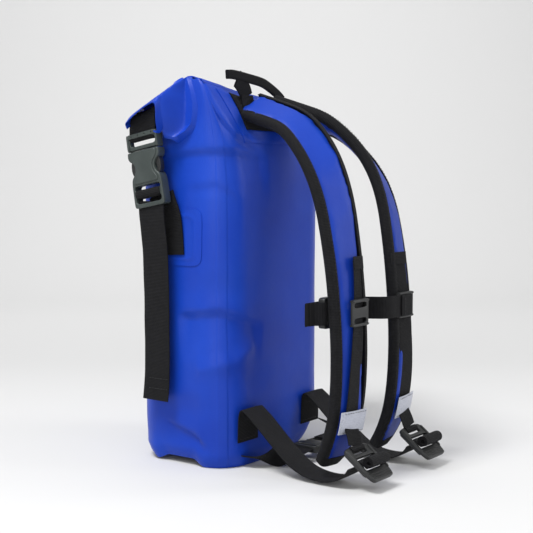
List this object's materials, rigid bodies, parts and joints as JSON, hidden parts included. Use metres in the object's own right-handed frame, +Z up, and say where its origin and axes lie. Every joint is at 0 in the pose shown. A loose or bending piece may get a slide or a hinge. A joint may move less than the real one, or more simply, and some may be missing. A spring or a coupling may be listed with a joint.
{
  "type": "dry bag",
  "caption": "Roll-top dry bag in coated blue fabric with side buckles, grab handle and a padded backpack harness with chest and waist straps.",
  "frame": {"origin": "middle of the base, on the plane the bag stands on", "axes": "+Z up along the bag, +Y towards the front that the roll folds over, -Y towards the wearer's back, +X to the wearer's left"},
  "size_m": [0.28, 0.3271, 0.458],
  "materials": {
    "pvc_blue": "satin coated fabric",
    "webbing_black": "ribbed woven webbing",
    "yoke_black": "matte coated fabric",
    "buckle_grey": "moulded acetal",
    "pad_blue": "smooth nylon",
    "foam": "closed-cell foam",
    "mesh_black": "spacer mesh",
    "reflective": "reflective tape"
  },
  "bodies": {
    "bag": {"bag_body": "pvc_blue", "base_panel": "pvc_blue", "base_strap": "webbing_black", "closure_roll": "pvc_blue", "closure_stiffener": "buckle_grey", "harness_panel": "pvc_blue", "harness_yoke": "yoke_black", "waist_webbing_right": "webbing_black", "waist_webbing_left": "webbing_black", "waist_buckle_female": "buckle_grey", "closure_webbing_right": "webbing_black", "buckle_male_right": "buckle_grey", "side_patch_right": "pvc_blue", "side_strap_right": "webbing_black", "strap_cover_right": "pad_blue", "strap_foam_right": "foam", "strap_backing_right": "mesh_black", "strap_webbing_right": "webbing_black", "reflector_right": "reflective", "lower_webbing_right": "webbing_black", "closure_webbing_left": "webbing_black", "buckle_male_left": "buckle_grey", "side_patch_left": "pvc_blue", "side_strap_left": "webbing_black", "strap_cover_left": "pad_blue", "strap_foam_left": "foam", "strap_backing_left": "mesh_black", "strap_webbing_left": "webbing_black", "reflector_left": "reflective", "lower_webbing_left": "webbing_black"},
    "handle": {"grab_handle": "webbing_black"},
    "female_right": {"buckle_female_right": "buckle_grey", "bar_wrap_right": "webbing_black"},
    "tail_right": {"strap_tail_right": "webbing_black"},
    "prong_front_right": {"prong_front_right": "buckle_grey"},
    "prong_rear_right": {"prong_rear_right": "buckle_grey"},
    "lock_right": {"ladder_lock_right": "buckle_grey", "webbing_tail_right": "webbing_black"},
    "female_left": {"buckle_female_left": "buckle_grey", "bar_wrap_left": "webbing_black"},
    "tail_left": {"strap_tail_left": "webbing_black"},
    "prong_front_left": {"prong_front_left": "buckle_grey"},
    "prong_rear_left": {"prong_rear_left": "buckle_grey"},
    "lock_left": {"ladder_lock_left": "buckle_grey", "webbing_tail_left": "webbing_black"},
    "chest_right": {"chest_slider_right": "buckle_grey", "chest_buckle_female": "buckle_grey", "chest_webbing_right": "webbing_black"},
    "chest_left": {"chest_slider_left": "buckle_grey", "chest_webbing_left": "webbing_black"},
    "chest_male": {"chest_buckle_male": "buckle_grey"},
    "waist_male": {"waist_buckle_male": "buckle_grey"}
  },
  "joints": [
    {"name": "side_buckle_release_right", "type": "slide", "parent": "bag", "child": "female_right", "axis": [0, -0.1736, -0.9848], "range_m": [0, 0.036]},
    {"name": "strap_tail_swing_right", "type": "hinge", "parent": "female_right", "child": "tail_right", "pos_m": [-0.1258, 0.01911, 0.29509], "axis": [0, 1, 0], "range_deg": [0, 70]},
    {"name": "prong_front_press_right", "type": "hinge", "parent": "bag", "child": "prong_front_right", "pos_m": [-0.122, 0.04362, 0.36249], "axis": [-1, 0, 0], "range_deg": [0, 7], "stiffness_Nm_per_rad": 0.6},
    {"name": "prong_rear_press_right", "type": "hinge", "parent": "bag", "child": "prong_rear_right", "pos_m": [-0.122, 0.01703, 0.36718], "axis": [1, 0, 0], "range_deg": [0, 7], "stiffness_Nm_per_rad": 0.6},
    {"name": "ladder_lock_tilt_right", "type": "hinge", "parent": "bag", "child": "lock_right", "pos_m": [-0.06, -0.217, 0.04], "axis": [-1, 0, 0], "range_deg": [0, 25]},
    {"name": "side_buckle_release_left", "type": "slide", "parent": "bag", "child": "female_left", "axis": [0, -0.1736, -0.9848], "range_m": [0, 0.036]},
    {"name": "strap_tail_swing_left", "type": "hinge", "parent": "female_left", "child": "tail_left", "pos_m": [0.1258, 0.01911, 0.29509], "axis": [0, -1, 0], "range_deg": [0, 70]},
    {"name": "prong_front_press_left", "type": "hinge", "parent": "bag", "child": "prong_front_left", "pos_m": [0.122, 0.04362, 0.36249], "axis": [-1, 0, 0], "range_deg": [0, 7], "stiffness_Nm_per_rad": 0.6},
    {"name": "prong_rear_press_left", "type": "hinge", "parent": "bag", "child": "prong_rear_left", "pos_m": [0.122, 0.01703, 0.36718], "axis": [1, 0, 0], "range_deg": [0, 7], "stiffness_Nm_per_rad": 0.6},
    {"name": "ladder_lock_tilt_left", "type": "hinge", "parent": "bag", "child": "lock_left", "pos_m": [0.06, -0.217, 0.04], "axis": [-1, 0, 0], "range_deg": [0, 25]},
    {"name": "handle_flop", "type": "hinge", "parent": "bag", "child": "handle", "pos_m": [0, -0.0483, 0.43], "axis": [1, 0, 0], "range_deg": [-5, 60]},
    {"name": "chest_slide_right", "type": "slide", "parent": "bag", "child": "chest_right", "axis": [0, 0.06, 0.9982], "range_m": [-0.012, 0.012]},
    {"name": "chest_slide_left", "type": "slide", "parent": "bag", "child": "chest_left", "axis": [0, 0.06, 0.9982], "range_m": [-0.012, 0.012]},
    {"name": "chest_buckle_release", "type": "slide", "parent": "chest_left", "child": "chest_male", "axis": [1, 0, 0], "range_m": [0, 0.016]},
    {"name": "waist_buckle_release", "type": "slide", "parent": "bag", "child": "waist_male", "axis": [1, 0, 0], "range_m": [0, 0.018]}
  ],
  "couplings": [
    {"joint": "chest_slide_left", "follows": "chest_slide_right", "ratio": 1}
  ]
}
